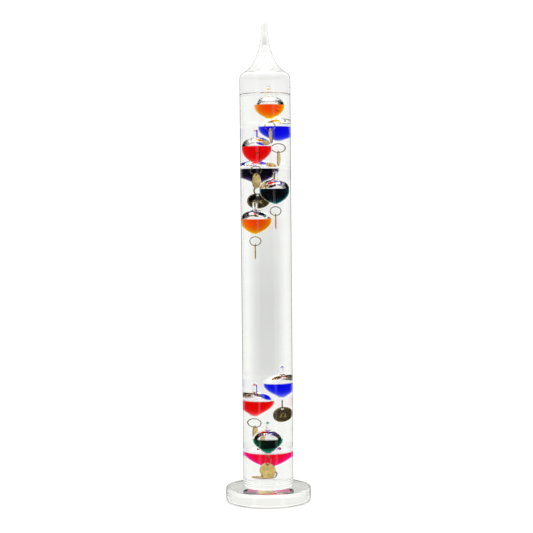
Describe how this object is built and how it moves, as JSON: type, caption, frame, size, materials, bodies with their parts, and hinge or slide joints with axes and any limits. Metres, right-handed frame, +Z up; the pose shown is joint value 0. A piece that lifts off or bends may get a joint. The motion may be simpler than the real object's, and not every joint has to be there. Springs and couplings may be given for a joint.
{
  "type": "galileo thermometer",
  "caption": "Sealed glass tube of clear liquid on a round glass foot, holding coloured glass floats with brass temperature tags that rise and sink with the temperature.",
  "frame": {"origin": "centre of the foot's underside", "axes": "+Z up along the tube, +X to the right and +Y away as seen from the front"},
  "size_m": [0.0786, 0.0786, 0.44],
  "materials": {
    "foot_glass": "clear polished",
    "bond": "clear",
    "tube_glass": "clear fire-polished",
    "clear_liquid": "clear liquid",
    "float_glass": "clear fire-polished",
    "ring_wire": "dulled wire",
    "tag_brass": "satin, finely hatched",
    "dye_orange": "coloured liquid",
    "dye_blue": "coloured liquid",
    "dye_red": "coloured liquid",
    "dye_violet": "coloured liquid",
    "dye_teal": "coloured liquid",
    "dye_green": "coloured liquid",
    "dye_magenta": "coloured liquid"
  },
  "bodies": {
    "stand_and_tube": {"base_disc": "foot_glass", "bond_film": "bond", "glass_tube": "tube_glass", "clear_liquid": "clear_liquid"},
    "dye_body_01": {"dye_01": "dye_orange"},
    "glass_body_01": {"bulb_01": "float_glass"},
    "ring_body_01": {"ring_01": "ring_wire"},
    "tag_body_01": {"tag_01": "tag_brass"},
    "dye_body_02": {"dye_02": "dye_blue"},
    "glass_body_02": {"bulb_02": "float_glass"},
    "ring_body_02": {"ring_02": "ring_wire"},
    "tag_body_02": {"tag_02": "tag_brass"},
    "dye_body_03": {"dye_03": "dye_red"},
    "glass_body_03": {"bulb_03": "float_glass"},
    "ring_body_03": {"ring_03": "ring_wire"},
    "tag_body_03": {"tag_03": "tag_brass"},
    "dye_body_04": {"dye_04": "dye_violet"},
    "glass_body_04": {"bulb_04": "float_glass"},
    "ring_body_04": {"ring_04": "ring_wire"},
    "tag_body_04": {"tag_04": "tag_brass"},
    "dye_body_05": {"dye_05": "dye_teal"},
    "glass_body_05": {"bulb_05": "float_glass"},
    "ring_body_05": {"ring_05": "ring_wire"},
    "tag_body_05": {"tag_05": "tag_brass"},
    "dye_body_06": {"dye_06": "dye_orange"},
    "glass_body_06": {"bulb_06": "float_glass"},
    "ring_body_06": {"ring_06": "ring_wire"},
    "tag_body_06": {"tag_06": "tag_brass"},
    "dye_body_07": {"dye_07": "dye_blue"},
    "glass_body_07": {"bulb_07": "float_glass"},
    "ring_body_07": {"ring_07": "ring_wire"},
    "tag_body_07": {"tag_07": "tag_brass"},
    "dye_body_08": {"dye_08": "dye_red"},
    "glass_body_08": {"bulb_08": "float_glass"},
    "ring_body_08": {"ring_08": "ring_wire"},
    "tag_body_08": {"tag_08": "tag_brass"},
    "dye_body_09": {"dye_09": "dye_green"},
    "glass_body_09": {"bulb_09": "float_glass"},
    "ring_body_09": {"ring_09": "ring_wire"},
    "tag_body_09": {"tag_09": "tag_brass"},
    "dye_body_10": {"dye_10": "dye_magenta"},
    "glass_body_10": {"bulb_10": "float_glass"},
    "ring_body_10": {"ring_10": "ring_wire"},
    "tag_body_10": {"tag_10": "tag_brass"}
  },
  "joints": [
    {"name": "bob_01", "type": "slide", "parent": "stand_and_tube", "child": "dye_body_01", "axis": [0, 0, 1], "range_m": [0, 0.0025]},
    {"name": "bob_02", "type": "slide", "parent": "stand_and_tube", "child": "dye_body_02", "axis": [0, 0, 1], "range_m": [0, 0.0035]},
    {"name": "bob_03", "type": "slide", "parent": "stand_and_tube", "child": "dye_body_03", "axis": [0, 0, 1], "range_m": [-0.0009, 0]},
    {"name": "bob_04", "type": "slide", "parent": "stand_and_tube", "child": "dye_body_04", "axis": [0, 0, 1], "range_m": [-0.0004, 0]},
    {"name": "bob_05", "type": "slide", "parent": "stand_and_tube", "child": "dye_body_05", "axis": [0, 0, 1], "range_m": [-0.0015, 0.0015]},
    {"name": "bob_06", "type": "slide", "parent": "stand_and_tube", "child": "dye_body_06", "axis": [0, 0, 1], "range_m": [-0.114, 0.0018], "deforming": ["clear_liquid"]},
    {"name": "bob_07", "type": "slide", "parent": "stand_and_tube", "child": "dye_body_07", "axis": [0, 0, 1], "range_m": [-0.002, 0.1355]},
    {"name": "bob_08", "type": "slide", "parent": "stand_and_tube", "child": "dye_body_08", "axis": [0, 0, 1], "range_m": [-0.0055, 0.002]},
    {"name": "bob_09", "type": "slide", "parent": "stand_and_tube", "child": "dye_body_09", "axis": [0, 0, 1], "range_m": [-0.003, 0.0115]},
    {"name": "bob_10", "type": "slide", "parent": "stand_and_tube", "child": "dye_body_10", "axis": [0, 0, 1], "range_m": [-0.0015, 0.003]},
    {"name": "ring_swing_01", "type": "hinge", "parent": "glass_body_01", "child": "ring_body_01", "pos_m": [0.0034, -0.0086, 0.34828], "axis": [0.9397, 0.342, 0], "range_deg": [-4, 0]},
    {"name": "ring_swing_02", "type": "hinge", "parent": "glass_body_02", "child": "ring_body_02", "pos_m": [0.0073, 0.0056, 0.32898], "axis": [0.9998, -0.0175, 0], "range_deg": [-13, 21]},
    {"name": "ring_swing_03", "type": "hinge", "parent": "glass_body_03", "child": "ring_body_03", "pos_m": [-0.007, -0.0063, 0.30848], "axis": [0.9781, -0.2079, 0], "range_deg": [-11, 0]},
    {"name": "ring_swing_04", "type": "hinge", "parent": "glass_body_04", "child": "ring_body_04", "pos_m": [-0.0044, 0.0083, 0.29018], "axis": [-0.309, 0.9511, 0], "range_deg": [-18, 21]},
    {"name": "ring_swing_05", "type": "hinge", "parent": "glass_body_05", "child": "ring_body_05", "pos_m": [0.0069, -0.0064, 0.27148], "axis": [0.9962, 0.0872, 0], "range_deg": [-25, 30]},
    {"name": "ring_swing_06", "type": "hinge", "parent": "glass_body_06", "child": "ring_body_06", "pos_m": [-0.0076, -0.004, 0.24418], "axis": [1, 0, 0], "range_deg": [-15, 15]},
    {"name": "ring_swing_07", "type": "hinge", "parent": "glass_body_07", "child": "ring_body_07", "pos_m": [0.0088, 0.0027, 0.09318], "axis": [-0.2079, 0.9781, 0], "range_deg": [-16, 25]},
    {"name": "ring_swing_08", "type": "hinge", "parent": "glass_body_08", "child": "ring_body_08", "pos_m": [-0.0076, 0.0049, 0.07588], "axis": [0.8746, -0.4848, 0], "range_deg": [-21, 30]},
    {"name": "ring_swing_09", "type": "hinge", "parent": "glass_body_09", "child": "ring_body_09", "pos_m": [-0.0002, -0.009, 0.04308], "axis": [0.5, 0.866, 0], "range_deg": [-15, 25]},
    {"name": "ring_swing_10", "type": "hinge", "parent": "glass_body_10", "child": "ring_body_10", "pos_m": [0.0004, 0.0093, 0.02778], "axis": [1, 0, 0], "range_deg": [-15, 12]},
    {"name": "spin_01", "type": "hinge", "parent": "dye_body_01", "child": "glass_body_01", "pos_m": [0.0034, -0.0086, 0.3629], "axis": [0, 0, 1], "range_deg": [-16, 2]},
    {"name": "spin_02", "type": "hinge", "parent": "dye_body_02", "child": "glass_body_02", "pos_m": [0.0073, 0.0056, 0.3437], "axis": [0, 0, 1], "range_deg": [-12, 3]},
    {"name": "spin_03", "type": "hinge", "parent": "dye_body_03", "child": "glass_body_03", "pos_m": [-0.007, -0.0063, 0.3256], "axis": [0, 0, 1], "range_deg": [-1, 4]},
    {"name": "spin_04", "type": "hinge", "parent": "dye_body_04", "child": "glass_body_04", "pos_m": [-0.0044, 0.0083, 0.3055], "axis": [0, 0, 1], "range_deg": [-36, 26]},
    {"name": "spin_05", "type": "hinge", "parent": "dye_body_05", "child": "glass_body_05", "pos_m": [0.0069, -0.0064, 0.287], "axis": [0, 0, 1], "range_deg": [-30, 15]},
    {"name": "spin_06", "type": "hinge", "parent": "dye_body_06", "child": "glass_body_06", "pos_m": [-0.0076, -0.004, 0.2594], "axis": [0, 0, 1], "continuous": true},
    {"name": "spin_07", "type": "hinge", "parent": "dye_body_07", "child": "glass_body_07", "pos_m": [0.0088, 0.0027, 0.1081], "axis": [0, 0, 1], "range_deg": [-43, 60]},
    {"name": "spin_08", "type": "hinge", "parent": "dye_body_08", "child": "glass_body_08", "pos_m": [-0.0076, 0.0049, 0.0918], "axis": [0, 0, 1], "range_deg": [-43, 2]},
    {"name": "spin_09", "type": "hinge", "parent": "dye_body_09", "child": "glass_body_09", "pos_m": [-0.0002, -0.009, 0.058], "axis": [0, 0, 1], "range_deg": [-31, 51]},
    {"name": "spin_10", "type": "hinge", "parent": "dye_body_10", "child": "glass_body_10", "pos_m": [0.0004, 0.0093, 0.0425], "axis": [0, 0, 1], "range_deg": [-31, 60]},
    {"name": "tag_swing_01", "type": "hinge", "parent": "ring_body_01", "child": "tag_body_01", "pos_m": [0.0034, -0.0086, 0.34034], "axis": [0.9397, 0.342, 0], "range_deg": [-19, 2]},
    {"name": "tag_swing_02", "type": "hinge", "parent": "ring_body_02", "child": "tag_body_02", "pos_m": [0.0073, 0.0056, 0.32104], "axis": [0.9998, -0.0175, 0], "range_deg": [-19, 32]},
    {"name": "tag_swing_03", "type": "hinge", "parent": "ring_body_03", "child": "tag_body_03", "pos_m": [-0.007, -0.0063, 0.30054], "axis": [0.9781, -0.2079, 0], "range_deg": [-23, 1]},
    {"name": "tag_swing_04", "type": "hinge", "parent": "ring_body_04", "child": "tag_body_04", "pos_m": [-0.0044, 0.0083, 0.28224], "axis": [-0.309, 0.9511, 0], "range_deg": [-27, 32]},
    {"name": "tag_swing_05", "type": "hinge", "parent": "ring_body_05", "child": "tag_body_05", "pos_m": [0.0069, -0.0064, 0.26354], "axis": [0.9962, 0.0872, 0], "range_deg": [-45, 45]},
    {"name": "tag_swing_06", "type": "hinge", "parent": "ring_body_06", "child": "tag_body_06", "pos_m": [-0.0076, -0.004, 0.23624], "axis": [1, 0, 0], "range_deg": [-25, 25]},
    {"name": "tag_swing_07", "type": "hinge", "parent": "ring_body_07", "child": "tag_body_07", "pos_m": [0.0088, 0.0027, 0.08524], "axis": [-0.2079, 0.9781, 0], "range_deg": [-32, 45]},
    {"name": "tag_swing_08", "type": "hinge", "parent": "ring_body_08", "child": "tag_body_08", "pos_m": [-0.0076, 0.0049, 0.06794], "axis": [0.8746, -0.4848, 0], "range_deg": [-32, 45]},
    {"name": "tag_swing_09", "type": "hinge", "parent": "ring_body_09", "child": "tag_body_09", "pos_m": [-0.0002, -0.009, 0.03514], "axis": [0.5, 0.866, 0], "range_deg": [-23, 38]},
    {"name": "tag_swing_10", "type": "hinge", "parent": "ring_body_10", "child": "tag_body_10", "pos_m": [-0.00273, 0.0093, 0.02137], "axis": [0, 0, 1], "range_deg": [-23, 4]}
  ]
}
